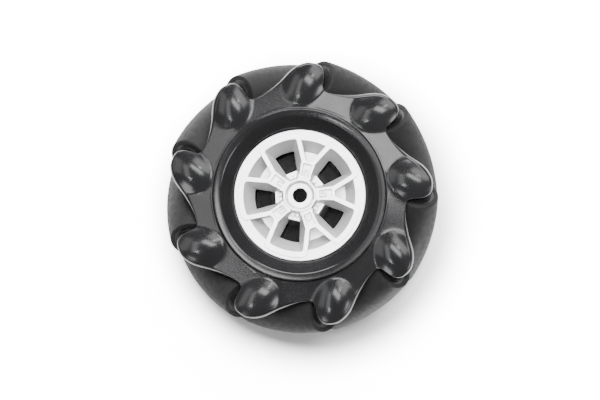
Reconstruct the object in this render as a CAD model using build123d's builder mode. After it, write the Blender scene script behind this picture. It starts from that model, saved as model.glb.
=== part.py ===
"""Mecanum wheel: two lobed shells, a spoked rim, a hex drive hub and nine 45 degree rollers.

Frame: the origin is the wheel's centre and the wheel turns about Y. The decorated front faces -Y.
Heights are measured from the centre plane towards the shell's own face, angles are clockwise from
the top as seen from the front, and all lengths are millimetres.
"""

import os
from math import cos, radians, sin, sqrt

from build123d import *

# Driving dimensions of the wheel
WHEEL_RADIUS = 48.5
HALF_WIDTH = 22.25
ROLLER_COUNT = 9
ROLLER_STEP = 360 / ROLLER_COUNT
FIRST_ROLLER_ANGLE = 27.8
ROLLER_CIRCLE = 39.0
ROLLER_CLEARANCE = 0.7

# Roller
TREAD_HALF = 19.5
TREAD_END_ROUND = 0.8
CORE_RADIUS = 6.0
CORE_HALF = 19.2
CORE_BORE = 2.6
BUSH_RADIUS = 3.5
BUSH_LENGTH = 4.0
BUSH_FLANGE_RADIUS = 5.0
BUSH_FLANGE = 0.6
BUSH_BORE = 2.05
PIN_RADIUS = 2.0
PIN_HALF = 23.5
PIN_END_CHAMFER = 0.4
WASHER_RADIUS = 5.0
WASHER_THICKNESS = 0.4
END_PLAY = 0.05
BOSS_FACE = CORE_HALF + BUSH_FLANGE + END_PLAY + WASHER_THICKNESS
POCKET_PLAY = 0.02
POCKET_OVERLAP = 1.0
POCKET_END = PIN_HALF + 0.2

# Shell rings: radius and height of each step of the face
JOINT_FACE = 1.0
LIP_RADIUS = 23.1
LIP_BACK = 17.0
LIP_FRONT = 17.8
BEVEL_START = 23.7
RING_INNER = 27.7
RING_OUTER = 30.1
RING_FOOT = 30.6
FACE_HEIGHT = 21.0
BAND_FOOT = 18.6
LOBE_BACK = 7.5
SHELL_BORE = 24.4
DRUM_RADIUS = 28.5
DRUM_OVERLAP = 0.5
WEB_START = 10.0
WEB_END = 17.0
VALLEY_RADIUS = 37.5
PLATE_RADIUS = 36.5

# Lobe outline: clock angle past the valley that starts it, and radius
LOBE_PITCH_ANGLE = 15.4
LOBE_SLOPE = (17.9, 42.6)
LOBE_SHOULDER = (23.8, 45.8)
LOBE_APEX = (29.8, 46.8)
LOBE_CORNER = (35.2, 44.6)
LOBE_FLANK = (36.4, 41.0)
LOBE_HEEL = (36.9, 38.9)
BAND_WIDTH = 1.2
BAND_SHIFT = 2.4

# Dome over each roller pin, in the roller's own tangential and radial directions
DOME_TANGENT = -16.8
DOME_RADIAL = 35.6
DOME_CREST = 22.2
DOME_LENGTH_RADIUS = 23.0
DOME_WIDTH_RADIUS = 13.2
DOME_DEPTH = 1.5
DOME_SWEEP = 56.0

# Room around a roller that is cut out of the shell behind its boss
SLOT_IN = 10.5
SLOT_OUT = 14.0
SLOT_FORE = 5.0
SLOT_AFT = 16.0
SLOT_BACK = 16.0

# Shell screws
SCREW_CIRCLE = 26.45
SCREW_RADIUS = 1.0
SCREW_HOLE = 1.05
SCREW_HEAD_RADIUS = 1.55
SCREW_HEAD_POCKET = 1.7
SCREW_HEAD_SEAT = 14.0
SCREW_HEAD_HEIGHT = 1.8
SCREW_TIP = 9.0
SCREW_HEX = 0.85
SCREW_HEX_DEPTH = 1.0
SCREW_START_ANGLE = 7.8

# Rim
SPOKE_COUNT = 5
SPOKE_STEP = 360 / SPOKE_COUNT
FIRST_SPOKE_ANGLE = 14.7
RIM_BARREL = 24.3
RIM_BARREL_INNER = 22.6
RIM_EDGE = 23.0
RIM_FRONT = 18.0
RIM_FLANGE_INNER = 19.5
RIM_FLANGE_BACK = 16.3
DISC_RADIUS = 15.9
DISC_FRONT = 9.5
DISC_BACK = 8.0
CONE_BACK_OUTER = 21.0
CONE_BACK_INNER = 17.4
HUB_RADIUS = 5.8
HUB_FRONT = 19.2
DISH_EDGE = 5.15
DISH_FLOOR_RADIUS = 4.35
DISH_FLOOR = 16.6
NOSE_FRONT = 16.0
NOSE_RADIUS = 4.2
NOSE_PLAY = 0.05
AXLE_BORE = 2.6

# Raised frames of the rim, as distances beside and along the middle line of the nearer spoke
FRAME_FRONT = 18.5
FRAME_OUTER = 21.9
FRAME_ROUND = 1.8
FORK_REACH = 12.4
FRAME_FORK = (1.1, 12.5)
FRAME_CORNER = (5.61, 21.17)
MOUTH_ROOT = (2.0, 6.9)
MOUTH_BEND = (2.45, 11.8)
MOUTH_CORNER = (6.25, 18.9)
MOUTH_OUTER = 19.9
MOUTH_ROUND = 1.0

# Windows in the rim's disc
WINDOW_INNER = 9.0
WINDOW_MIDDLE = 11.0
WINDOW_OUTER = 16.3
WINDOW_HALF_ANGLE = 12.8
WINDOW_ROUND = 0.3

# Recess and small rib in each spoke's stem, and lug at each window
STEM_POCKET_INNER = 6.9
STEM_POCKET_OUTER = 11.3
STEM_POCKET_INNER_WIDTH = 2.6
STEM_POCKET_OUTER_WIDTH = 3.2
STEM_POCKET_DEPTH = 1.8
STEM_RIB_RADIUS = 0.65
STEM_RIB_WIDTH = 0.4
STEM_RIB_REACH = 8.6
STEM_RIB_HEIGHT = 1.2
LUG_ROOM_INNER = 5.85
LUG_ROOM_OUTER = 9.2
LUG_ROOM_ROOT_WIDTH = 3.5
LUG_ROOM_WIDTH = 5.1
LUG_ROOM_FLOOR = 12.0
LUG_INNER = 6.4
LUG_OUTER = 8.8
LUG_WIDTH = 4.3
LUG_ROOT_WIDTH = 2.9
LUG_FRONT = 13.5
LUG_STEP_WIDTH = 1.1
LUG_STEP_GAP = 1.5
LUG_STEP = 1.2

# Drive hub
HUB_BOSS_RADIUS = 10.5
HUB_REAR = 14.0
HEX_FLATS = 12.1
HEX_FLOOR = 8.0
FLANGE_RADIUS = 28.4
RIB_COUNT = 6
RIB_WIDTH = 2.0
RIB_INNER = 9.5
RIB_OUTER = 22.0
RIB_REAR = 6.0

FRONT = Plane.XZ


def rear_plane():
    """Face plane of the rear shell: the front one turned over about the first roller's radius."""
    turn = radians(2 * FIRST_ROLLER_ANGLE)
    return Plane(origin=(0, 0, 0), x_dir=(-cos(turn), 0, sin(turn)), z_dir=(0, 1, 0))


def radial(base, angle):
    """Unit vector from the wheel's centre towards a clock angle of a face plane."""
    return base.x_dir * sin(radians(angle)) + base.y_dir * cos(radians(angle))


def tangent(base, angle):
    """Unit vector in the clockwise direction at a clock angle of a face plane."""
    return base.x_dir * cos(radians(angle)) - base.y_dir * sin(radians(angle))


def clock_plane(base, angle, height):
    """Plane parallel to the face, its local Y pointing at the clock angle."""
    origin = base.origin + base.z_dir * height
    return Plane(origin=origin, x_dir=tangent(base, angle), z_dir=base.z_dir)


def section(place):
    """Plane through an axis of turning: local X is the radius and local Y runs along the axis."""
    return Plane(origin=place.origin, x_dir=place.x_dir, z_dir=-place.y_dir)


def axis_of(place):
    """Axis through a plane's origin along its normal."""
    return Axis(place.origin, place.z_dir)


def roller_angle(number):
    """Clock angle of a roller's centre."""
    return FIRST_ROLLER_ANGLE + ROLLER_STEP * number


def roller_plane(base, number):
    """Plane at a roller's centre, its normal along the pin towards the face of the base plane."""
    angle = roller_angle(number)
    lean = (base.z_dir - tangent(base, angle)) * (1 / sqrt(2))
    out = radial(base, angle)
    return Plane(origin=out * ROLLER_CIRCLE, x_dir=out, z_dir=lean)


def tread_radius(along):
    """Radius of the barrel that rolls on the wheel's outer cylinder, along the roller's pin."""
    return sqrt(WHEEL_RADIUS ** 2 - along ** 2 / 2) - ROLLER_CIRCLE


def polar(angle, radius):
    """Point of a face plane from a clock angle and a radius."""
    return (radius * sin(radians(angle)), radius * cos(radians(angle)))


def heading(angle):
    """Clockwise direction of a face plane at a clock angle."""
    return (cos(radians(angle)), -sin(radians(angle)))


def ring(place, inner, outer, low, high):
    """Plain ring or tube about a plane's normal."""
    with BuildPart() as tube:
        with BuildSketch(section(place)):
            with BuildLine():
                Polyline((inner, low), (outer, low), (outer, high), (inner, high), close=True)
            make_face()
        revolve(axis=axis_of(place))
    return tube.part


# Rollers


def roller_tread(place):
    """Rubber barrel of a roller."""
    end_radius = tread_radius(TREAD_HALF)
    with BuildPart() as tread:
        with BuildSketch(section(place)):
            with BuildLine():
                Polyline((end_radius, -TREAD_HALF), (CORE_RADIUS, -TREAD_HALF),
                         (CORE_RADIUS, TREAD_HALF), (end_radius, TREAD_HALF))
                ThreePointArc((end_radius, TREAD_HALF), (tread_radius(0), 0),
                              (end_radius, -TREAD_HALF))
            make_face()
        revolve(axis=axis_of(place))
        end_edges = tread.edges().filter_by(GeomType.CIRCLE).sort_by(SortBy.RADIUS)[-2:]
        fillet(end_edges, radius=TREAD_END_ROUND)
    return tread.part


def roller_core(place):
    """Plastic core of a roller, bored for the pin and counterbored for its two bushes."""
    seat = CORE_HALF - BUSH_LENGTH
    with BuildPart() as core:
        with BuildSketch(section(place)):
            with BuildLine():
                Polyline((CORE_BORE, -seat), (BUSH_RADIUS, -seat), (BUSH_RADIUS, -CORE_HALF),
                         (CORE_RADIUS, -CORE_HALF), (CORE_RADIUS, CORE_HALF),
                         (BUSH_RADIUS, CORE_HALF), (BUSH_RADIUS, seat), (CORE_BORE, seat),
                         close=True)
            make_face()
        revolve(axis=axis_of(place))
    return core.part


def roller_bushes(place):
    """Pair of flanged bushes pressed into the ends of a roller's core."""
    seat = CORE_HALF - BUSH_LENGTH
    flange_end = CORE_HALF + BUSH_FLANGE
    with BuildPart() as bushes:
        for side in (-1, 1):
            with BuildSketch(section(place)):
                with BuildLine():
                    Polyline((BUSH_BORE, side * seat), (BUSH_RADIUS, side * seat),
                             (BUSH_RADIUS, side * CORE_HALF),
                             (BUSH_FLANGE_RADIUS, side * CORE_HALF),
                             (BUSH_FLANGE_RADIUS, side * flange_end),
                             (BUSH_BORE, side * flange_end), close=True)
                make_face()
            revolve(axis=axis_of(place))
    return bushes.part


def roller_washers(place):
    """Pair of thrust washers between the bushes and the shells' bosses."""
    inner_face = BOSS_FACE - WASHER_THICKNESS
    with BuildPart() as washers:
        for side in (-1, 1):
            with BuildSketch(section(place)):
                with BuildLine():
                    Polyline((BUSH_BORE, side * inner_face), (WASHER_RADIUS, side * inner_face),
                             (WASHER_RADIUS, side * BOSS_FACE), (BUSH_BORE, side * BOSS_FACE),
                             close=True)
                make_face()
            revolve(axis=axis_of(place))
    return washers.part


def roller_pin(place):
    """Steel pin of a roller, held at both ends by the shells."""
    with BuildPart() as pin:
        with BuildSketch(Plane(origin=place.origin - place.z_dir * PIN_HALF,
                               x_dir=place.x_dir, z_dir=place.z_dir)):
            Circle(PIN_RADIUS)
        extrude(amount=2 * PIN_HALF)
        chamfer(pin.edges().filter_by(GeomType.CIRCLE), length=PIN_END_CHAMFER)
    return pin.part


# Shells


def lobe_curve(start, shrink, shift):
    """Outline of one lobe from its valley to the next."""
    apex_angle, apex_radius = LOBE_APEX
    valley = polar(start, VALLEY_RADIUS)
    slope = polar(start + LOBE_SLOPE[0] + shift, LOBE_SLOPE[1] - shrink / 2)
    shoulder = polar(start + LOBE_SHOULDER[0] + shift / 2, LOBE_SHOULDER[1] - shrink)
    apex = polar(start + apex_angle, apex_radius - shrink)
    corner = polar(start + LOBE_CORNER[0] - shrink / 4, LOBE_CORNER[1] - shrink / 2)
    flank = polar(start + LOBE_FLANK[0], LOBE_FLANK[1])
    heel = polar(start + LOBE_HEEL[0], LOBE_HEEL[1])
    end = polar(start + ROLLER_STEP, VALLEY_RADIUS)
    inward = polar(start + LOBE_FLANK[0] + 180, 1)
    with BuildLine() as curve:
        Spline(valley, slope, shoulder, apex,
               tangents=(heading(start), heading(start + apex_angle)))
        Spline(apex, corner, flank, tangents=(heading(start + apex_angle), inward))
        Line(flank, heel)
        Spline(heel, end, tangents=(inward, heading(start + ROLLER_STEP)))
    return curve.line


def lobe_face(shrink=0.0, shift=0.0):
    """Nine lobed flat face about the wheel's centre."""
    with BuildSketch() as face:
        with BuildLine():
            for number in range(ROLLER_COUNT):
                add(lobe_curve(LOBE_PITCH_ANGLE + ROLLER_STEP * number, shrink, shift))
        make_face()
    return face.sketch


def shell_lobes(base):
    """Lobed block of a shell, its edge leaning in towards the face."""
    with BuildPart() as block:
        with BuildSketch(base.offset(LOBE_BACK)):
            add(lobe_face())
        extrude(amount=BAND_FOOT - LOBE_BACK)
        with BuildSketch(base.offset(BAND_FOOT)):
            add(lobe_face())
        with BuildSketch(base.offset(FACE_HEIGHT)):
            add(lobe_face(BAND_WIDTH, BAND_SHIFT))
        loft(ruled=True)
    return block.part


def dome_blank(base, number):
    """Lens shaped patch that stands proud of the face over one roller pin."""
    angle = roller_angle(number)
    centre = (tangent(base, angle) * DOME_TANGENT + radial(base, angle) * DOME_RADIAL
              + base.z_dir * (DOME_CREST - DOME_WIDTH_RADIUS))
    half = sqrt(DOME_LENGTH_RADIUS ** 2 - (DOME_LENGTH_RADIUS - DOME_DEPTH) ** 2)
    foot = DOME_WIDTH_RADIUS - DOME_DEPTH
    start = base.z_dir * cos(radians(DOME_SWEEP / 2))
    start = start + tangent(base, angle) * sin(radians(DOME_SWEEP / 2))
    place = Plane(origin=centre, x_dir=start, z_dir=radial(base, angle))
    with BuildPart() as lens:
        with BuildSketch(section(place)):
            with BuildLine():
                ThreePointArc((foot, -half), (DOME_WIDTH_RADIUS, 0), (foot, half))
                Line((foot, half), (foot, -half))
            make_face()
        revolve(axis=axis_of(place), revolution_arc=-DOME_SWEEP)
    return lens.part


def shell_domes(base):
    """All the domes of one shell, trimmed to the lobed face."""
    with BuildPart() as blanks:
        for number in range(ROLLER_COUNT):
            add(dome_blank(base, number))
    with BuildPart() as domes:
        with BuildSketch(base.offset(BAND_FOOT)):
            add(lobe_face(BAND_WIDTH, BAND_SHIFT))
        extrude(amount=HALF_WIDTH - BAND_FOOT)
        add(blanks.part, mode=Mode.INTERSECT)
    return domes.part


def shell_drum(base):
    """Drum, retaining lip, bevel and raised ring of a shell, without its lobes."""
    with BuildPart() as drum:
        with BuildSketch(section(base)):
            with BuildLine():
                Polyline((SHELL_BORE, JOINT_FACE), (DRUM_RADIUS, JOINT_FACE),
                         (DRUM_RADIUS, WEB_START), (PLATE_RADIUS, WEB_END),
                         (PLATE_RADIUS, FACE_HEIGHT), (RING_FOOT, FACE_HEIGHT),
                         (RING_OUTER, HALF_WIDTH), (RING_INNER, HALF_WIDTH),
                         (BEVEL_START, LIP_FRONT), (LIP_RADIUS, LIP_FRONT),
                         (LIP_RADIUS, LIP_BACK), (SHELL_BORE, LIP_BACK), close=True)
            make_face()
        revolve(axis=axis_of(base))
    return drum.part


def roller_room(place):
    """Barrel of free space around one roller, as long as the gap between its two bosses."""
    mid_radius = tread_radius(0) + ROLLER_CLEARANCE
    end_radius = tread_radius(BOSS_FACE) + ROLLER_CLEARANCE
    with BuildPart() as room:
        with BuildSketch(section(place)):
            with BuildLine():
                Polyline((end_radius, -BOSS_FACE), (0, -BOSS_FACE), (0, BOSS_FACE),
                         (end_radius, BOSS_FACE))
                ThreePointArc((end_radius, BOSS_FACE), (mid_radius, 0), (end_radius, -BOSS_FACE))
            make_face()
        revolve(axis=axis_of(place))
    return room.part


def roller_slot(place):
    """Open space behind a roller's boss, between that roller and the one beside it."""
    with BuildPart() as slot:
        with BuildSketch(Plane(origin=place.origin - place.z_dir * SLOT_BACK,
                               x_dir=place.x_dir, z_dir=place.z_dir)):
            with BuildLine():
                Polyline((-SLOT_IN, -SLOT_FORE), (SLOT_OUT, -SLOT_FORE), (SLOT_OUT, SLOT_AFT),
                         (-SLOT_IN, SLOT_AFT), close=True)
            make_face()
        extrude(amount=SLOT_BACK + BOSS_FACE)
    return slot.part


def shell(base):
    """One shell, blank of screw holes, facing along the base plane's normal."""
    with BuildPart() as body:
        add(shell_lobes(base))
        with BuildSketch(base.offset(JOINT_FACE)):
            Circle(DRUM_RADIUS - DRUM_OVERLAP)
        extrude(amount=HALF_WIDTH, mode=Mode.SUBTRACT)
        for number in range(ROLLER_COUNT):
            add(roller_slot(roller_plane(base, number)), mode=Mode.SUBTRACT)
        add(shell_drum(base))
        add(shell_domes(base))
        for number in range(ROLLER_COUNT):
            place = roller_plane(base, number)
            pocket = PIN_RADIUS + POCKET_PLAY
            add(roller_room(place), mode=Mode.SUBTRACT)
            add(ring(place, 0, pocket, BOSS_FACE - POCKET_OVERLAP, POCKET_END), mode=Mode.SUBTRACT)
    return body.part


def screw_plane(number, height):
    """Plane on a shell screw's axis, parallel to the front face."""
    place = clock_plane(FRONT, SCREW_START_ANGLE + ROLLER_STEP * number, height)
    return Plane(origin=place.origin + place.y_dir * SCREW_CIRCLE, x_dir=place.x_dir,
                 z_dir=place.z_dir)


def front_shell():
    """Front shell with a blind core hole for each screw."""
    with BuildPart() as body:
        add(shell(FRONT))
        for number in range(ROLLER_COUNT):
            with BuildSketch(screw_plane(number, JOINT_FACE)):
                Circle(SCREW_HOLE)
            extrude(amount=SCREW_TIP + SCREW_HOLE - JOINT_FACE, mode=Mode.SUBTRACT)
    return body.part


def rear_shell():
    """Rear shell with a through hole and a deep head pocket for each screw."""
    with BuildPart() as body:
        add(shell(rear_plane()))
        for number in range(ROLLER_COUNT):
            with BuildSketch(screw_plane(number, -HALF_WIDTH)):
                Circle(SCREW_HOLE)
            extrude(amount=HALF_WIDTH, mode=Mode.SUBTRACT)
            with BuildSketch(screw_plane(number, -HALF_WIDTH)):
                Circle(SCREW_HEAD_POCKET)
            extrude(amount=HALF_WIDTH - SCREW_HEAD_SEAT, mode=Mode.SUBTRACT)
    return body.part


def shell_screws():
    """Cap screws that clamp the two shells onto the drive hub's flange."""
    head_end = SCREW_HEAD_SEAT + SCREW_HEAD_HEIGHT
    with BuildPart() as screws:
        for number in range(ROLLER_COUNT):
            with BuildSketch(screw_plane(number, -SCREW_HEAD_SEAT)):
                Circle(SCREW_RADIUS)
            extrude(amount=SCREW_HEAD_SEAT + SCREW_TIP)
            with BuildSketch(screw_plane(number, -head_end)):
                Circle(SCREW_HEAD_RADIUS)
            extrude(amount=SCREW_HEAD_HEIGHT)
            with BuildSketch(screw_plane(number, -head_end)):
                RegularPolygon(SCREW_HEX, 6)
            extrude(amount=SCREW_HEX_DEPTH, mode=Mode.SUBTRACT)
    return screws.part


# Rim


def rim_bowl():
    """Turned body of the rim: barrel, flange, cone wall, disc and dished hub boss."""
    with BuildPart() as bowl:
        with BuildSketch(section(FRONT)):
            with BuildLine():
                Polyline((RIM_BARREL, JOINT_FACE), (RIM_BARREL, LIP_BACK), (RIM_EDGE, LIP_BACK),
                         (RIM_EDGE, RIM_FRONT), (RIM_FLANGE_INNER, RIM_FRONT),
                         (DISC_RADIUS, DISC_FRONT), (HUB_RADIUS, DISC_FRONT),
                         (HUB_RADIUS, HUB_FRONT), (DISH_EDGE, HUB_FRONT),
                         (DISH_FLOOR_RADIUS, DISH_FLOOR), (AXLE_BORE, DISH_FLOOR),
                         (AXLE_BORE, NOSE_FRONT), (NOSE_RADIUS + NOSE_PLAY, NOSE_FRONT),
                         (NOSE_RADIUS + NOSE_PLAY, DISC_BACK), (CONE_BACK_INNER, DISC_BACK),
                         (CONE_BACK_OUTER, RIM_FLANGE_BACK), (RIM_BARREL_INNER, RIM_FLANGE_BACK),
                         (RIM_BARREL_INNER, JOINT_FACE), close=True)
            make_face()
        revolve(axis=axis_of(FRONT))
    return bowl.part


def beside_spoke(lateral, reach):
    """Point of a window's own plane, from its distance beside and along the next spoke."""
    half = radians(SPOKE_STEP / 2)
    return (reach * sin(half) - lateral * cos(half), reach * cos(half) + lateral * sin(half))


def flipped(point):
    """The same point on the other side of the window."""
    return (-point[0], point[1])


def rim_frame(angle):
    """Raised frame around one window, which is half of the spoke on each side of it."""
    corner = beside_spoke(*FRAME_CORNER)
    fork = beside_spoke(*FRAME_FORK)
    crotch = beside_spoke(0, FORK_REACH)
    root = beside_spoke(0, HUB_RADIUS - NOSE_PLAY)
    with BuildPart() as body:
        with BuildSketch(clock_plane(FRONT, angle, DISC_BACK)) as outline:
            with BuildLine():
                Polyline(corner, fork, crotch, root, flipped(root), flipped(crotch),
                         flipped(fork), flipped(corner))
                ThreePointArc(flipped(corner), (0, FRAME_OUTER), corner)
            make_face()
            fillet(outline.vertices().sort_by(Axis.Y)[-2:], radius=FRAME_ROUND)
        extrude(amount=FRAME_FRONT - DISC_BACK)
    return body.part


def window_face(root, bend, corner, outer, rounding):
    """Six sided opening with its two outer corners rounded."""
    with BuildSketch() as face:
        with BuildLine():
            Polyline(corner, bend, root, flipped(root), flipped(bend), flipped(corner))
            ThreePointArc(flipped(corner), (0, outer), corner)
        make_face()
        fillet(face.vertices().sort_by(Axis.Y)[-2:], radius=rounding)
    return face.sketch


def rim_pocket(angle):
    """Tapering space from a frame's mouth to and through its window, with room for a lug."""
    mouth = window_face(beside_spoke(*MOUTH_ROOT), beside_spoke(*MOUTH_BEND),
                        beside_spoke(*MOUTH_CORNER), MOUTH_OUTER, MOUTH_ROUND)
    window = window_face(polar(WINDOW_HALF_ANGLE, WINDOW_INNER),
                         polar(WINDOW_HALF_ANGLE, WINDOW_MIDDLE),
                         polar(WINDOW_HALF_ANGLE, WINDOW_OUTER), WINDOW_OUTER, WINDOW_ROUND)
    with BuildPart() as room:
        with BuildSketch(clock_plane(FRONT, angle, DISC_FRONT)):
            add(window)
        with BuildSketch(clock_plane(FRONT, angle, FRAME_FRONT)):
            add(mouth)
        loft(ruled=True)
        with BuildSketch(clock_plane(FRONT, angle, DISC_BACK)):
            add(window)
        extrude(amount=DISC_FRONT - DISC_BACK)
        with BuildSketch(clock_plane(FRONT, angle, LUG_ROOM_FLOOR)):
            with BuildLine():
                Polyline((-LUG_ROOM_WIDTH / 2, LUG_ROOM_OUTER),
                         (LUG_ROOM_WIDTH / 2, LUG_ROOM_OUTER),
                         (LUG_ROOM_ROOT_WIDTH / 2, LUG_ROOM_INNER),
                         (-LUG_ROOM_ROOT_WIDTH / 2, LUG_ROOM_INNER), close=True)
            make_face()
        extrude(amount=FRAME_FRONT - LUG_ROOM_FLOOR)
    return room.part


def stem_recess(angle):
    """Shallow tapered space in the front of a spoke's stem."""
    with BuildPart() as recess:
        with BuildSketch(clock_plane(FRONT, angle, FRAME_FRONT - STEM_POCKET_DEPTH)):
            with BuildLine():
                Polyline((-STEM_POCKET_INNER_WIDTH / 2, STEM_POCKET_INNER),
                         (STEM_POCKET_INNER_WIDTH / 2, STEM_POCKET_INNER),
                         (STEM_POCKET_OUTER_WIDTH / 2, STEM_POCKET_OUTER),
                         (-STEM_POCKET_OUTER_WIDTH / 2, STEM_POCKET_OUTER), close=True)
            make_face()
        extrude(amount=STEM_POCKET_DEPTH)
    return recess.part


def stem_rib(angle):
    """Small arched rib on the floor of a stem's recess."""
    outer = STEM_RIB_RADIUS + STEM_RIB_WIDTH / 2
    inner = STEM_RIB_RADIUS - STEM_RIB_WIDTH / 2
    low = STEM_POCKET_INNER - STEM_RIB_WIDTH
    high = STEM_RIB_REACH
    with BuildPart() as rib:
        with BuildSketch(clock_plane(FRONT, angle, FRAME_FRONT - 2 * STEM_POCKET_DEPTH)):
            with BuildLine():
                ThreePointArc((-outer, high), (0, high + outer), (outer, high))
                Polyline((outer, high), (outer, low), (inner, low), (inner, high))
                ThreePointArc((inner, high), (0, high + inner), (-inner, high))
                Polyline((-inner, high), (-inner, low), (-outer, low), (-outer, high))
            make_face()
        extrude(amount=STEM_POCKET_DEPTH + STEM_RIB_HEIGHT)
    return rib.part


def rim_lug(angle):
    """Stepped clip at the inner end of a window."""
    with BuildPart() as lug:
        with BuildSketch(clock_plane(FRONT, angle, DISC_BACK)):
            with BuildLine():
                Polyline((-LUG_WIDTH / 2, LUG_OUTER), (LUG_WIDTH / 2, LUG_OUTER),
                         (LUG_ROOT_WIDTH / 2, LUG_INNER), (-LUG_ROOT_WIDTH / 2, LUG_INNER),
                         close=True)
            make_face()
        extrude(amount=LUG_FRONT - DISC_BACK)
        for side in (-1, 1):
            near = side * (LUG_STEP_GAP - LUG_STEP_WIDTH) / 2
            far = side * (LUG_STEP_GAP + LUG_STEP_WIDTH) / 2
            with BuildSketch(clock_plane(FRONT, angle, LUG_FRONT)):
                with BuildLine():
                    Polyline((near, LUG_INNER), (far, LUG_INNER), (far, LUG_OUTER - LUG_STEP),
                             (near, LUG_OUTER - LUG_STEP), close=True)
                make_face()
            extrude(amount=LUG_STEP)
    return lug.part


def rim():
    """Spoked rim held between the front shell's lip and the drive hub's flange."""
    with BuildPart() as body:
        add(rim_bowl())
        for number in range(SPOKE_COUNT):
            angle = FIRST_SPOKE_ANGLE + SPOKE_STEP * number
            add(rim_frame(angle + SPOKE_STEP / 2))
        for number in range(SPOKE_COUNT):
            angle = FIRST_SPOKE_ANGLE + SPOKE_STEP * number
            middle = angle + SPOKE_STEP / 2
            add(rim_pocket(middle), mode=Mode.SUBTRACT)
            add(stem_recess(angle), mode=Mode.SUBTRACT)
            add(stem_rib(angle))
            add(rim_lug(middle))
        add(ring(FRONT, 0, NOSE_RADIUS + NOSE_PLAY, DISC_BACK, NOSE_FRONT), mode=Mode.SUBTRACT)
    return body.part


# Drive hub


def drive_hub():
    """Flanged hub between the shells, bored for the axle and socketed for a hexagon."""
    with BuildPart() as hub:
        with BuildSketch(section(FRONT)):
            with BuildLine():
                Polyline((AXLE_BORE, NOSE_FRONT), (NOSE_RADIUS, NOSE_FRONT),
                         (NOSE_RADIUS, DISC_BACK), (HUB_BOSS_RADIUS, DISC_BACK),
                         (HUB_BOSS_RADIUS, JOINT_FACE), (FLANGE_RADIUS, JOINT_FACE),
                         (FLANGE_RADIUS, -JOINT_FACE), (HUB_BOSS_RADIUS, -JOINT_FACE),
                         (HUB_BOSS_RADIUS, -HUB_REAR), (AXLE_BORE, -HUB_REAR), close=True)
            make_face()
        revolve(axis=axis_of(FRONT))
        for number in range(RIB_COUNT):
            with BuildSketch(clock_plane(FRONT, number * 360 / RIB_COUNT, -RIB_REAR)):
                with BuildLine():
                    Polyline((-RIB_WIDTH / 2, RIB_INNER), (RIB_WIDTH / 2, RIB_INNER),
                             (RIB_WIDTH / 2, RIB_OUTER), (-RIB_WIDTH / 2, RIB_OUTER),
                             close=True)
                make_face()
            extrude(amount=RIB_REAR)
        with BuildSketch(FRONT.offset(-HUB_REAR)):
            RegularPolygon(HEX_FLATS / 2, 6, major_radius=False)
        extrude(amount=HUB_REAR - HEX_FLOOR, mode=Mode.SUBTRACT)
        for number in range(ROLLER_COUNT):
            with BuildSketch(screw_plane(number, -JOINT_FACE)):
                Circle(SCREW_HOLE)
            extrude(amount=2 * JOINT_FACE, mode=Mode.SUBTRACT)
    return hub.part


def save(piece, name):
    """Label a finished piece and write it out."""
    piece.label = name
    export_step(piece, f"parts/{name}.step")


def main():
    """Build every piece in its place."""
    os.makedirs("parts", exist_ok=True)
    for number in range(ROLLER_COUNT):
        place = roller_plane(FRONT, number)
        save(roller_tread(place), f"roller_tread_{number + 1}")
        save(roller_core(place), f"roller_core_{number + 1}")
        save(roller_bushes(place), f"roller_bushes_{number + 1}")
        save(roller_washers(place), f"roller_washers_{number + 1}")
        save(roller_pin(place), f"roller_pin_{number + 1}")
    save(rim(), "rim")
    save(drive_hub(), "drive_hub")
    save(shell_screws(), "shell_screws")
    save(front_shell(), "front_shell")
    save(rear_shell(), "rear_shell")


main()
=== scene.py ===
"""Looks of the mecanum wheel: smooth gloss shells, silver rim, rubber rollers, studio light.

Heights are measured from the wheel's centre plane towards a shell's own face, angles are clockwise
from the top seen from the front. Shapes are worked out in millimetres and stored in metres.
"""

from math import cos, pi, radians, sin, sqrt

import bmesh
import bpy
import numpy as np
from mathutils import Matrix, Vector


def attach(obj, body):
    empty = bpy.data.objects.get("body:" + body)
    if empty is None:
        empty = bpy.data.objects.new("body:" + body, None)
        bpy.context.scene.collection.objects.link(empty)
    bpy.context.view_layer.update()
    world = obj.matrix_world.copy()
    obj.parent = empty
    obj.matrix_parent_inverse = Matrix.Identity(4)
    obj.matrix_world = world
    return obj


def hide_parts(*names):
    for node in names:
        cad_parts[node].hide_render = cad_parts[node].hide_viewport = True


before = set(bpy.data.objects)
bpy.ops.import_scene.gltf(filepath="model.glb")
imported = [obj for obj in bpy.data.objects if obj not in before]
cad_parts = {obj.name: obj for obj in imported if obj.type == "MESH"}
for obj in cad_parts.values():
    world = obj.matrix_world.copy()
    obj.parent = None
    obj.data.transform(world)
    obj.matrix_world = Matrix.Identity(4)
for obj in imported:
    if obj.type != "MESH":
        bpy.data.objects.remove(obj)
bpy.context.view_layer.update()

MM = 0.001

# Wheel and rollers, as in the CAD model
WHEEL_RADIUS = 48.5
HALF_WIDTH = 22.25
ROLLER_COUNT = 9
ROLLER_STEP = 360 / ROLLER_COUNT
FIRST_ROLLER_ANGLE = 27.8
ROLLER_CIRCLE = 39.0
ROLLER_CLEARANCE = 0.7
BOSS_FACE = 20.25

# Shell rings
JOINT_FACE = 1.0
SHELL_BORE = 24.4
LIP_RADIUS = 23.1
LIP_BACK = 17.0
LIP_FRONT = 17.8
BEVEL_START = 23.7
RING_INNER = 27.7
RING_OUTER = 30.1
RING_FOOT = 30.6
FACE_HEIGHT = 21.0
FACE_SLOPE = 0.085
RING_LEAN = 0.45
FACE_START = RING_FOOT + 0.5
DRUM_RADIUS = 28.5
LOBE_BACK = 7.5
THINNEST_SKIN = 0.6
THINNEST_WALL = 0.15

# Slot for each roller's end boss, and the region round a pin's centre where it is cut
SLOT_FORE = 5.0
SLOT_INNER_END = -10.5
SLOT_FAR_END = -22.5
ROOM_HALF_LENGTH = 32
ROOM_INNER_RADIUS = 10

# Heights that are tried for a roller's free space, and a height below everything
ROOM_LOW = -30
ROOM_HIGH = 24
ROOM_STEPS = 217
NOWHERE = -100

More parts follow.
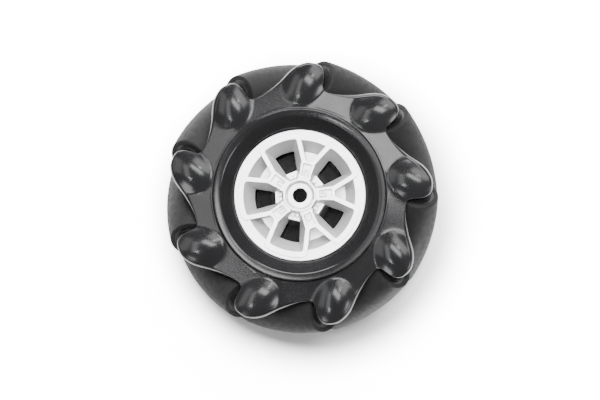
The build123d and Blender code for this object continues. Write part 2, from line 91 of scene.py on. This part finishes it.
# Screw pockets of the rear shell
SCREW_CIRCLE = 26.45
SCREW_START_ANGLE = 7.8
SCREW_HOLE = 1.05
SCREW_HEAD_POCKET = 1.7
SCREW_HEAD_SEAT = 14.0
CUT_MARGIN = 1.0
CUT_SIDES = 32
SHARP_ANGLE = 50

# Lobe outline: clock angle past the valley that starts it, radius, and width of the side band
LOBE_START = 15.4
LOBE_OUTLINE = (
    (0.0, 37.5, 0.35),
    (6.0, 38.05, 0.8),
    (13.8, 40.5, 1.5),
    (21.3, 44.6, 1.5),
    (26.3, 46.5, 1.3),
    (30.0, 46.8, 1.15),
    (33.8, 46.0, 0.8),
    (35.9, 43.8, 0.45),
    (36.5, 41.0, 0.2),
    (36.8, 38.9, 0.15),
    (38.0, 37.85, 0.2),
)

# Section of the side band: part of its width, and part of its drop
BAND_PROFILE = (
    (0.15, 0.015),
    (0.32, 0.06),
    (0.52, 0.15),
    (0.70, 0.29),
    (0.85, 0.49),
    (0.95, 0.72),
    (1.00, 1.00),
)
BAND_STEEPNESS = 1.25
BAND_LEAST_DROP = 0.35

# Dome over each roller pin, in the roller's own tangential and radial directions, how softly it
# joins the face, and how far below the face it still counts
DOME_TANGENT = -16.8
DOME_RADIAL = 35.6
DOME_HALF_TANGENT = 5.9
DOME_HALF_RADIAL = 7.9
DOME_CREST = 22.2
DOME_BLEND = 0.30
DOME_REACH = 8.0

# Grid of a shell, and how far its columns are pulled towards even clock angles
COLUMNS_PER_LOBE = 90
SPLINE_STEPS = 24
FACE_ROWS = 44
WALL_ROWS = 8
BACK_ROWS = 28
DRUM_ROWS = 4
COLUMN_EVENNESS = 0.6

# Part of a noise texture's range that materials use
NOISE_LOW = 0.3
NOISE_HIGH = 0.7

# Lights: name, clock angle, tilt off the axis, distance, size along and across the tilt, radiance
SOFTBOXES = (
    ("overhead", 0, 60, 1.1, 0.5, 1.0, 9),
    ("window_spot", 42, 22, 1.25, 0.06, 0.07, 24),
    ("low_left", 214, 40, 1.2, 0.30, 0.30, 6),
    ("low_right", 112, 44, 1.2, 0.40, 0.40, 8),
    ("pane_left", 223, 17, 1.2, 0.06, 0.032, 32),
    ("pane_right", 215, 17, 1.2, 0.06, 0.032, 32),
    ("behind", 330, 140, 1.2, 0.8, 0.8, 16),
    ("behind_low", 150, 132, 1.2, 0.5, 0.8, 14),
)

# Lights whose brightness fades towards their edges, each made of layers: part of its size and radiance
FADING_SOFTBOXES = (
    ("window", 36, 12.5, 1.3, 0.16, 0.40, 20),
    ("window_wide", 42, 30, 1.3, 0.28, 0.56, 9),
    ("screen", 277, 13.5, 1.3, 0.16, 0.50, 5.5),
    ("screen_wide", 288, 29, 1.3, 0.24, 0.60, 3),
)
FADING_LAYERS = (
    (1.25, 0.45),
    (0.75, 0.55),
)

# Broad lights that shade the wheel without being mirrored in its gloss
FILLS = (
    ("fill", 12, 24, 1.2, 0.8, 0.8, 42),
    ("fill_behind", 20, 156, 1.2, 0.8, 0.8, 60),
)

# Broad light for the metallic finish of the rim alone
RIM_LIGHT = ("rim_light", 10, 5, 1.2, 0.75, 0.75, 12)

# Surroundings: brightness in front of the wheel, behind it, and as the camera sees them, and the
# height over the wheel's plane, on a unit sphere, where the change from front to behind ends
WORLD_FRONT = 0.25
WORLD_BEHIND = 1.5
WORLD_SEEN = 12
WORLD_BLEND = 0.2

# White sheets behind the wheel: half width, and gap behind it of the painted and the glowing one
SHEET_HALF_WIDTH = 0.9
PAINT_GAP = 0.0003
GLOW_GAP = 0.0001

# Painted light and shade: glow of the white surface, left out close round the wheel as a painted soft
# shadow over the real one, darker towards the bottom right
GLOW_START = 0.047
GLOW_FULL = 0.064
PAINTED_SHADE_CENTRE = (0.003, 0, -0.005)
GLOW_STRENGTH = 12

# Camera, and the wheel's diameter as part of the picture's width
CAMERA_AZIMUTH = 2.4
CAMERA_ELEVATION = -2.8
CAMERA_DISTANCE = 0.9
CAMERA_TARGET = (-0.0007, 0, -0.0008)
SENSOR_WIDTH = 36
WHEEL_SHARE = 0.4507


# Meshes


def new_mesh_object(name, verts, faces, material):
    """Object from arrays of points in metres and quads, smooth shaded."""
    mesh = bpy.data.meshes.new(name)
    mesh.from_pydata(verts.tolist(), [], faces.tolist())
    mesh.validate()
    mesh.update()
    piece = bpy.data.objects.new(name, mesh)
    bpy.context.collection.objects.link(piece)
    mesh.materials.append(material)
    mesh.shade_smooth()
    return piece


def grid_faces(rows, columns):
    """Quads of a grid that wraps round both ways."""
    row = np.arange(rows)[:, None]
    column = np.arange(columns)[None, :]
    next_row = (row + 1) % rows
    next_column = (column + 1) % columns
    quads = np.stack(
        [
            row * columns + column,
            next_row * columns + column,
            next_row * columns + next_column,
            row * columns + next_column,
        ],
        axis=-1,
    )
    return quads.reshape(-1, 4)


def rounded_profile(points, steps=4):
    """Polyline through (radius, height, rounding) corners, each rounded corner as a short arc."""
    path = []
    for index, (radius, height, rounding) in enumerate(points):
        here = np.array((radius, height))
        if rounding == 0 or index in (0, len(points) - 1):
            path.append(here)
            continue
        before = np.array(points[index - 1][:2]) - here
        after = np.array(points[index + 1][:2]) - here
        start = here + before / np.linalg.norm(before) * rounding
        end = here + after / np.linalg.norm(after) * rounding
        for step in range(steps + 1):
            part = step / steps
            bend = start * (1 - part) ** 2 + here * 2 * part * (1 - part) + end * part**2
            path.append(bend)
    return np.array(path)


# Shell shape


def closed_spline(points, samples):
    """Even samples along a closed smooth curve through points whose first two values are a place."""
    points = np.array(points)
    count = len(points)
    part = np.arange(SPLINE_STEPS) / SPLINE_STEPS
    before = np.roll(points, 1, axis=0)
    after = np.roll(points, -1, axis=0)
    beyond = np.roll(points, -2, axis=0)
    curve = []
    for step in part:
        first = (-step + 2 * step**2 - step**3) / 2
        second = (2 - 5 * step**2 + 3 * step**3) / 2
        third = (step + 4 * step**2 - 3 * step**3) / 2
        fourth = (-(step**2) + step**3) / 2
        curve.append(before * first + points * second + after * third + beyond * fourth)
    curve = np.stack(curve, axis=1).reshape(count * SPLINE_STEPS, -1)
    spacing = np.linalg.norm(np.roll(curve[:, :2], -1, axis=0) - curve[:, :2], axis=1)
    length = np.concatenate([[0], np.cumsum(spacing)])
    closed = np.vstack([curve, curve[:1]])
    wanted = np.linspace(0, length[-1], samples, endpoint=False)
    columns = []
    for axis in range(closed.shape[1]):
        columns.append(np.interp(wanted, length, closed[:, axis]))
    return np.stack(columns, axis=1)


def lobe_outline():
    """Edge of the lobed face: position, outward normal and side band width at every column."""
    corners = []
    for number in range(ROLLER_COUNT):
        for angle, radius, band in LOBE_OUTLINE:
            clock = radians(LOBE_START + ROLLER_STEP * number + angle)
            corners.append((radius * sin(clock), radius * cos(clock), band))
    curve = closed_spline(corners, COLUMNS_PER_LOBE * ROLLER_COUNT)
    place = curve[:, :2]
    along = np.roll(place, -1, axis=0) - np.roll(place, 1, axis=0)
    along = along / np.linalg.norm(along, axis=1)[:, None]
    normal = np.stack([-along[:, 1], along[:, 0]], axis=1)
    return place, normal, curve[:, 2]


def roller_coordinates(x, z, number):
    """Tangential and radial distance of face points from the centre plane of one roller."""
    clock = radians(FIRST_ROLLER_ANGLE + ROLLER_STEP * number)
    tangent = x * cos(clock) - z * sin(clock)
    radial = x * sin(clock) + z * cos(clock)
    return tangent, radial


def face_height(x, z):
    """Height of the shell's face outside its ring: a slightly sloping annulus, a dome over each pin."""
    height = FACE_HEIGHT - FACE_SLOPE * (np.hypot(x, z) - RING_FOOT)
    for number in range(ROLLER_COUNT):
        tangent, radial = roller_coordinates(x, z, number)
        across = (tangent - DOME_TANGENT) / DOME_HALF_TANGENT
        along = (radial - DOME_RADIAL) / DOME_HALF_RADIAL
        rise = (DOME_CREST - FACE_HEIGHT) * (1 - across**2 - along**2)
        dome = np.where(radial > 0, FACE_HEIGHT + rise, NOWHERE)
        gap = height - dome
        joined = (height + dome + np.sqrt(gap**2 + DOME_BLEND**2)) / 2
        height = np.where(gap > DOME_REACH, height, joined)
    return height


def barrel_radius(along):
    """Radius of a roller with its clearance, along the roller's pin."""
    inside = np.maximum(WHEEL_RADIUS**2 - along**2 / 2, 0)
    return np.sqrt(inside) - ROLLER_CIRCLE + ROLLER_CLEARANCE


def room_top(tangent, offset):
    """Highest height that one roller's free space reaches at points beside its pin."""
    height = np.linspace(ROOM_LOW, ROOM_HIGH, ROOM_STEPS)[:, None, None]
    along = (height - tangent) / sqrt(2)
    aside = (height + tangent) / sqrt(2)
    reach = barrel_radius(along)
    inside = (aside**2 + offset**2 < reach**2) & (np.abs(along) < BOSS_FACE) & (reach > 0)
    return np.where(inside, height, NOWHERE).max(axis=0)


def back_height(x, z):
    """Height of the shell's hidden side: clear of the rollers, and square to the pins at bosses."""
    height = np.full(x.shape, LOBE_BACK)
    slot_rise = BOSS_FACE * sqrt(2)
    slot_fore = SLOT_FORE * sqrt(2)
    for number in range(ROLLER_COUNT):
        tangent, radial = roller_coordinates(x, z, number)
        offset = radial - ROLLER_CIRCLE
        near = (radial > ROOM_INNER_RADIUS) & (np.abs(tangent) < ROOM_HALF_LENGTH)
        in_slot = near & (offset > SLOT_INNER_END) & (tangent > SLOT_FAR_END)
        room = np.where(near, room_top(tangent, offset), NOWHERE)
        slot = np.minimum(tangent + slot_rise, slot_fore - tangent)
        slot = np.where(in_slot, slot, NOWHERE)
        height = np.maximum(height, np.maximum(room, slot))
    return height


def ring_section():
    """Bore, lip, bevel and raised ring of a shell, as radius and height of each point."""
    return rounded_profile(
        (
            (DRUM_RADIUS, JOINT_FACE, 0),
            (SHELL_BORE, JOINT_FACE, 0.2),
            (SHELL_BORE, LIP_BACK, 0.1),
            (LIP_RADIUS, LIP_BACK, 0.15),
            (LIP_RADIUS, LIP_FRONT, 0.2),
            (BEVEL_START, LIP_FRONT, 0.15),
            (RING_INNER, HALF_WIDTH - RING_LEAN, 0.4),
            (RING_OUTER, HALF_WIDTH, 0.35),
            (RING_FOOT, FACE_HEIGHT, 0.15),
            (FACE_START, FACE_HEIGHT, 0),
        )
    )


def face_rows(spoke, top_edge):
    """Rows of the face, from the ring's foot out to the side band."""
    start = spoke * FACE_START
    rows = []
    for step in range(1, FACE_ROWS + 1):
        part = step / FACE_ROWS
        place = start * (1 - part) + top_edge * part
        rows.append(np.column_stack([place, face_height(place[:, 0], place[:, 1])]))
    return rows


def side_rows(edge, normal, band, top_edge, crest):
    """Rows of the rounded side band, and of the lobes' wall below it."""
    drop = BAND_LEAST_DROP + band * BAND_STEEPNESS
    rows = []
    for part, fall in BAND_PROFILE:
        place = top_edge + normal * (band * part)[:, None]
        rows.append(np.column_stack([place, crest - drop * fall]))

    wall_top = crest - drop
    wall_foot = back_height(edge[None, :, 0], edge[None, :, 1])[0]
    wall_foot = np.minimum(wall_foot, wall_top - THINNEST_WALL)
    for step in range(1, WALL_ROWS + 1):
        part = step / WALL_ROWS
        rows.append(np.column_stack([edge, wall_top * (1 - part) + wall_foot * part]))
    return rows


def hidden_rows(edge, inner):
    """Rows of the hidden side, from the lobes' edge in to the drum and down it."""
    places = []
    for step in range(1, BACK_ROWS + 1):
        part = step / BACK_ROWS
        places.append(edge * (1 - part) + inner * part)
    places = np.array(places)
    heights = back_height(places[:, :, 0], places[:, :, 1])
    highest = face_height(places[:, :, 0], places[:, :, 1]) - THINNEST_SKIN
    heights = np.minimum(heights, highest)
    rows = []
    for place, height in zip(places, heights):
        rows.append(np.column_stack([place, height]))
    for step in range(1, DRUM_ROWS):
        part = step / DRUM_ROWS
        foot = heights[-1] * (1 - part) + JOINT_FACE * part
        rows.append(np.column_stack([inner, foot]))
    return rows


def shell_points():
    """Closed grid of one shell, rows round its section and columns round the wheel."""
    edge, normal, band = lobe_outline()
    columns = len(edge)
    clock = np.unwrap(np.arctan2(edge[:, 0], edge[:, 1]))
    even = clock[0] + np.arange(columns) * 2 * pi / columns
    clock = (1 - COLUMN_EVENNESS) * clock + COLUMN_EVENNESS * even
    spoke = np.stack([np.sin(clock), np.cos(clock)], axis=1)
    top_edge = edge - normal * band[:, None]

    rows = []
    for radius, height in ring_section():
        rows.append(np.column_stack([spoke * radius, np.full(columns, height)]))
    rows += face_rows(spoke, top_edge)
    rows += side_rows(edge, normal, band, top_edge, crest=rows[-1][:, 2])
    rows += hidden_rows(edge, spoke * DRUM_RADIUS)
    return np.array(rows)


def screw_cutter():
    """Nine stepped pins that leave the rear shell's screw pockets and holes when cut from it."""
    cutter = bmesh.new()
    steps = (
        (SCREW_HEAD_POCKET, SCREW_HEAD_SEAT, HALF_WIDTH + CUT_MARGIN),
        (SCREW_HOLE, -JOINT_FACE, SCREW_HEAD_SEAT + CUT_MARGIN),
    )
    for number in range(ROLLER_COUNT):
        clock = radians(SCREW_START_ANGLE + ROLLER_STEP * number)
        for radius, low, high in steps:
            made = bmesh.ops.create_cone(
                cutter,
                cap_ends=True,
                segments=CUT_SIDES,
                radius1=radius * MM,
                radius2=radius * MM,
                depth=(high - low) * MM,
            )
            bmesh.ops.rotate(cutter, verts=made["verts"], matrix=Matrix.Rotation(pi / 2, 3, "X"))
            middle = (SCREW_CIRCLE * sin(clock), (low + high) / 2, SCREW_CIRCLE * cos(clock))
            bmesh.ops.translate(cutter, verts=made["verts"], vec=Vector(middle) * MM)
    mesh = bpy.data.meshes.new("screw_cutter")
    cutter.to_mesh(mesh)
    cutter.free()
    return bpy.data.objects.new("screw_cutter", mesh)


def cut_screw_pockets(piece):
    """Cut the screw pockets and holes out of the rear shell, and keep its smooth shading."""
    cutter = screw_cutter()
    bpy.context.collection.objects.link(cutter)
    cut = piece.modifiers.new("pockets", "BOOLEAN")
    cut.operation = "DIFFERENCE"
    cut.solver = "EXACT"
    cut.use_self = True
    cut.object = cutter
    view = bpy.context.evaluated_depsgraph_get()
    done = bpy.data.meshes.new_from_object(piece.evaluated_get(view))
    piece.modifiers.clear()
    piece.data = done
    bpy.data.objects.remove(cutter)
    done.shade_smooth()
    done.set_sharp_from_angle(angle=radians(SHARP_ANGLE))


def shell_piece(name, node, material, turned):
    """One shell as a smooth mesh. The rear one is the front one turned over about a radius."""
    rows = shell_points()
    faces = grid_faces(rows.shape[0], rows.shape[1])
    flat = rows.reshape(-1, 3)
    verts = np.column_stack([flat[:, 0], -flat[:, 2], flat[:, 1]]) * MM
    if turned:
        clock = radians(FIRST_ROLLER_ANGLE)
        axis = np.array((sin(clock), 0, cos(clock)))
        verts = 2 * (verts @ axis)[:, None] * axis - verts
    piece = new_mesh_object(name, verts, faces, material)
    edit = bmesh.new()
    edit.from_mesh(piece.data)
    bmesh.ops.recalc_face_normals(edit, faces=edit.faces)
    edit.to_mesh(piece.data)
    edit.free()
    if turned:
        cut_screw_pockets(piece)
    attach(piece, "wheel")
    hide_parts(node)
    return piece


# Materials


def new_material(name):
    """Material with an empty node tree but for a Principled shader and its output."""
    material = bpy.data.materials.new(name)
    material.use_nodes = True
    nodes = material.node_tree.nodes
    shader = nodes["Principled BSDF"]
    return material, nodes, material.node_tree.links, shader


def noise(nodes, links, scale, detail, roughness=0.5):
    """Noise texture in object coordinates."""
    place = nodes.new("ShaderNodeTexCoord")
    texture = nodes.new("ShaderNodeTexNoise")
    texture.inputs["Scale"].default_value = scale
    texture.inputs["Detail"].default_value = detail
    texture.inputs["Roughness"].default_value = roughness
    links.new(place.outputs["Object"], texture.inputs["Vector"])
    return texture


def mapped(nodes, links, source, low, high):
    """Value of a noise texture mapped to a range."""
    span = nodes.new("ShaderNodeMapRange")
    span.inputs["From Min"].default_value = NOISE_LOW
    span.inputs["From Max"].default_value = NOISE_HIGH
    span.inputs["To Min"].default_value = low
    span.inputs["To Max"].default_value = high
    links.new(source.outputs["Fac"], span.inputs["Value"])
    return span


def bump(nodes, links, shader, source, strength, distance):
    """Bump from a texture's value."""
    node = nodes.new("ShaderNodeBump")
    node.inputs["Strength"].default_value = strength
    node.inputs["Distance"].default_value = distance
    links.new(source.outputs["Fac"], node.inputs["Height"])
    links.new(node.outputs["Normal"], shader.inputs["Normal"])


def tinted(nodes, links, shader, source, dark, light):
    """Base colour that wanders between two shades."""
    ramp = nodes.new("ShaderNodeValToRGB")
    ramp.color_ramp.elements[0].position = NOISE_LOW
    ramp.color_ramp.elements[0].color = (*dark, 1)
    ramp.color_ramp.elements[1].position = NOISE_HIGH
    ramp.color_ramp.elements[1].color = (*light, 1)
    links.new(source.outputs["Fac"], ramp.inputs["Fac"])
    links.new(ramp.outputs["Color"], shader.inputs["Base Color"])


def gloss_black():
    """Moulded gloss plastic with a faint swirl in its polish."""
    material, nodes, links, shader = new_material("gloss_black")
    swirl = noise(nodes, links, scale=60, detail=3)
    tinted(nodes, links, shader, swirl, dark=(0.0030, 0.0030, 0.0033), light=(0.0045, 0.0045, 0.0048))
    wear = noise(nodes, links, scale=250, detail=2)
    polish = mapped(nodes, links, wear, low=0.15, high=0.17)
    links.new(polish.outputs["Result"], shader.inputs["Roughness"])
    grit = noise(nodes, links, scale=400, detail=2)
    bump(nodes, links, shader, grit, strength=0.01, distance=0.00001)
    shader.inputs["IOR"].default_value = 1.5
    return material


def silver_rim():
    """Silver plastic with the fine grain of its metallic finish and slightly rounded edges."""
    material, nodes, links, shader = new_material("silver_rim")
    grain = noise(nodes, links, scale=2500, detail=2)
    tinted(nodes, links, shader, grain, dark=(0.46, 0.46, 0.46), light=(0.56, 0.56, 0.56))
    wear = noise(nodes, links, scale=400, detail=3)
    satin = mapped(nodes, links, wear, low=0.38, high=0.46)
    links.new(satin.outputs["Result"], shader.inputs["Roughness"])
    bump(nodes, links, shader, grain, strength=0.08, distance=0.00005)
    edge = nodes.new("ShaderNodeBevel")
    edge.inputs["Radius"].default_value = 0.00025
    links.new(edge.outputs["Normal"], nodes["Bump"].inputs["Normal"])
    shader.inputs["Metallic"].default_value = 0.7
    return material


def rubber():
    """Matt black rubber with a fine moulded grain and a trace of dust."""
    material, nodes, links, shader = new_material("rubber")
    dust = noise(nodes, links, scale=120, detail=5, roughness=0.6)
    tinted(nodes, links, shader, dust, dark=(0.0060, 0.0060, 0.0060), light=(0.0070, 0.0070, 0.0070))
    wear = noise(nodes, links, scale=700, detail=3)
    worn = mapped(nodes, links, wear, low=0.55, high=0.70)
    links.new(worn.outputs["Result"], shader.inputs["Roughness"])
    grit = noise(nodes, links, scale=3000, detail=3)
    bump(nodes, links, shader, grit, strength=0.10, distance=0.00004)
    shader.inputs["Specular IOR Level"].default_value = 0.12
    return material


def satin_black():
    """Dull black plastic of the roller cores."""
    material, nodes, links, shader = new_material("satin_black")
    mottle = noise(nodes, links, scale=300, detail=3)
    tinted(nodes, links, shader, mottle, dark=(0.003, 0.003, 0.003), light=(0.006, 0.006, 0.006))
    grit = noise(nodes, links, scale=1500, detail=2)
    bump(nodes, links, shader, grit, strength=0.1, distance=0.00005)
    shader.inputs["Roughness"].default_value = 0.4
    return material


def black_nylon():
    """Dark slippery plastic of the bushes and washers."""
    material, nodes, links, shader = new_material("black_nylon")
    mottle = noise(nodes, links, scale=500, detail=3)
    tinted(nodes, links, shader, mottle, dark=(0.002, 0.002, 0.002), light=(0.005, 0.005, 0.005))
    grit = noise(nodes, links, scale=2000, detail=2)
    bump(nodes, links, shader, grit, strength=0.1, distance=0.00005)
    shader.inputs["Roughness"].default_value = 0.5
    return material


def turned_metal(name, dark, light):
    """Turned metal with fine streaks."""
    material, nodes, links, shader = new_material(name)
    streak = noise(nodes, links, scale=900, detail=4)
    tinted(nodes, links, shader, streak, dark, light)
    worn = mapped(nodes, links, streak, low=0.25, high=0.4)
    links.new(worn.outputs["Result"], shader.inputs["Roughness"])
    shader.inputs["Metallic"].default_value = 1.0
    return material


def paint_node(node, material):
    """Give a CAD node its material."""
    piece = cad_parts[node]
    for index in range(len(piece.data.materials)):
        piece.material_slots[index].material = material
    if not piece.data.materials:
        piece.data.materials.append(material)


# Set


def softbox(name, clock, tilt, distance, along, across, radiance):
    """Rectangular soft light facing the wheel, placed by clock angle and tilt off the axis."""
    clock = radians(clock)
    tilt = radians(tilt)
    out = Vector((sin(tilt) * sin(clock), -cos(tilt), sin(tilt) * cos(clock)))
    side = Vector((cos(clock), 0, -sin(clock)))
    data = bpy.data.lights.new(name, "AREA")
    data.shape = "RECTANGLE"
    data.size = across
    data.size_y = along
    data.energy = 4 * along * across * radiance
    lamp = bpy.data.objects.new(name, data)
    bpy.context.collection.objects.link(lamp)
    turn = Matrix((side, out.cross(side), out)).transposed()
    lamp.matrix_world = Matrix.Translation(out * distance) @ turn.to_4x4()
    return lamp


def world_light():
    """Plain surroundings: dim before the wheel and pale behind it, and seen as a pale backdrop."""
    world = bpy.data.worlds.new("studio")
    world.use_nodes = True
    nodes = world.node_tree.nodes
    links = world.node_tree.links
    sky = nodes["Background"]
    sky.inputs["Color"].default_value = (1, 1, 1, 1)
    place = nodes.new("ShaderNodeTexCoord")
    split = nodes.new("ShaderNodeSeparateXYZ")
    span = nodes.new("ShaderNodeMapRange")
    span.inputs["From Min"].default_value = 0.0
    span.inputs["From Max"].default_value = WORLD_BLEND
    span.inputs["To Min"].default_value = WORLD_FRONT
    span.inputs["To Max"].default_value = WORLD_BEHIND
    links.new(place.outputs["Generated"], split.inputs["Vector"])
    links.new(split.outputs["Y"], span.inputs["Value"])
    links.new(span.outputs["Result"], sky.inputs["Strength"])
    seen = nodes.new("ShaderNodeBackground")
    seen.inputs["Color"].default_value = (1, 1, 1, 1)
    seen.inputs["Strength"].default_value = WORLD_SEEN
    ray = nodes.new("ShaderNodeLightPath")
    choice = nodes.new("ShaderNodeMixShader")
    links.new(ray.outputs["Is Camera Ray"], choice.inputs["Fac"])
    links.new(sky.outputs["Background"], choice.inputs[1])
    links.new(seen.outputs["Background"], choice.inputs[2])
    links.new(choice.outputs["Shader"], nodes["World Output"].inputs["Surface"])
    bpy.context.scene.world = world


def studio_camera():
    """Camera at the photograph's angle, almost straight along the wheel's axis."""
    azimuth = radians(CAMERA_AZIMUTH)
    elevation = radians(CAMERA_ELEVATION)
    back = Vector((sin(azimuth) * cos(elevation), -cos(azimuth) * cos(elevation), sin(elevation)))
    data = bpy.data.cameras.new("camera")
    camera = bpy.data.objects.new("camera", data)
    bpy.context.collection.objects.link(camera)
    camera.location = Vector(CAMERA_TARGET) + back * CAMERA_DISTANCE
    camera.rotation_euler = (-back).to_track_quat("-Z", "Y").to_euler()
    view_width = 2 * WHEEL_RADIUS * MM / WHEEL_SHARE
    data.sensor_width = SENSOR_WIDTH
    data.lens = SENSOR_WIDTH * CAMERA_DISTANCE / view_width
    bpy.context.scene.camera = camera


def seen_from_front(nodes, links, front):
    """Show a shader on the side that faces the camera, and nothing on the other side."""
    clear = nodes.new("ShaderNodeBsdfTransparent")
    side = nodes.new("ShaderNodeNewGeometry")
    blend = nodes.new("ShaderNodeMixShader")
    links.new(side.outputs["Backfacing"], blend.inputs["Fac"])
    links.new(front, blend.inputs[1])
    links.new(clear.outputs["BSDF"], blend.inputs[2])
    links.new(blend.outputs["Shader"], nodes["Material Output"].inputs["Surface"])


def white_paint():
    """Plain white surface, clear from its hidden side."""
    material, nodes, links, shader = new_material("white_surface")
    shade = noise(nodes, links, scale=8, detail=2)
    tinted(nodes, links, shader, shade, dark=(0.56, 0.56, 0.56), light=(0.59, 0.59, 0.59))
    shader.inputs["Roughness"].default_value = 0.7
    seen_from_front(nodes, links, shader.outputs["BSDF"])
    return material


def white_glow():
    """Clear film that adds painted light everywhere but close round the wheel, where it leaves a
    painted soft shadow.
    """
    material, nodes, links, shader = new_material("white_glow")
    nodes.remove(shader)
    place = nodes.new("ShaderNodeTexCoord")
    away = nodes.new("ShaderNodeVectorMath")
    away.operation = "DISTANCE"
    # Painted shade: the glow's dark zone is centred right of and below the wheel's centre, so the
    # bottom stays darker
    away.inputs[1].default_value = PAINTED_SHADE_CENTRE
    span = nodes.new("ShaderNodeMapRange")
    span.interpolation_type = "SMOOTHSTEP"
    span.inputs["From Min"].default_value = GLOW_START
    span.inputs["From Max"].default_value = GLOW_FULL
    span.inputs["To Max"].default_value = GLOW_STRENGTH
    links.new(place.outputs["Object"], away.inputs[0])
    links.new(away.outputs["Value"], span.inputs["Value"])
    glow = nodes.new("ShaderNodeEmission")
    links.new(span.outputs["Result"], glow.inputs["Strength"])
    clear = nodes.new("ShaderNodeBsdfTransparent")
    both = nodes.new("ShaderNodeAddShader")
    links.new(glow.outputs["Emission"], both.inputs[0])
    links.new(clear.outputs["BSDF"], both.inputs[1])
    seen_from_front(nodes, links, both.outputs["Shader"])
    return material


def backdrop(name, material, gap):
    """Square sheet behind the wheel, which is not part of it."""
    half = SHEET_HALF_WIDTH
    verts = np.array([(-half, 0, -half), (half, 0, -half), (half, 0, half), (-half, 0, half)])
    surface = new_mesh_object(name, verts, np.array([(0, 1, 2, 3)]), material)
    surface.location.y = HALF_WIDTH * MM + gap
    surface.visible_shadow = False
    return surface


def finish_wheel():
    """Smooth shells, and the finish of every CAD node that stays."""
    black = gloss_black()
    silver = silver_rim()
    tread = rubber()
    core = satin_black()
    nylon = black_nylon()
    steel = turned_metal("turned_steel", dark=(0.42, 0.42, 0.43), light=(0.66, 0.66, 0.67))
    shell_piece("front_shell_smooth", "front_shell", black, turned=False)
    shell_piece("rear_shell_smooth", "rear_shell", black, turned=True)
    paint_node("rim", silver)
    paint_node("drive_hub", black)
    paint_node("shell_screws", steel)
    for number in range(1, ROLLER_COUNT + 1):
        paint_node(f"roller_tread_{number}", tread)
        paint_node(f"roller_core_{number}", core)
        paint_node(f"roller_bushes_{number}", nylon)
        paint_node(f"roller_pin_{number}", steel)
        paint_node(f"roller_washers_{number}", nylon)


def white_floor():
    """White sheet that the wheel lies on, and the painted glow, with its painted soft shadow round the
    wheel, that only the camera sees on it.
    """
    backdrop("white_surface", white_paint(), PAINT_GAP)
    glow = backdrop("white_glow", white_glow(), GLOW_GAP)
    glow.visible_diffuse = False
    glow.visible_glossy = False


def studio_lights():
    """Soft lights in front of the wheel and behind it, and one that lights the rim alone."""
    for light in SOFTBOXES:
        softbox(*light)
    for name, clock, tilt, distance, along, across, radiance in FADING_SOFTBOXES:
        for size, part in FADING_LAYERS:
            softbox(name, clock, tilt, distance, along * size, across * size, radiance * part)
    for light in FILLS:
        softbox(*light).visible_glossy = False
    only_rim = bpy.data.collections.new("only_rim")
    only_rim.objects.link(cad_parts["rim"])
    softbox(*RIM_LIGHT).light_linking.receiver_collection = only_rim


def main():
    """The wheel's looks, and the set round it."""
    finish_wheel()
    world_light()
    white_floor()
    studio_lights()
    studio_camera()


main()
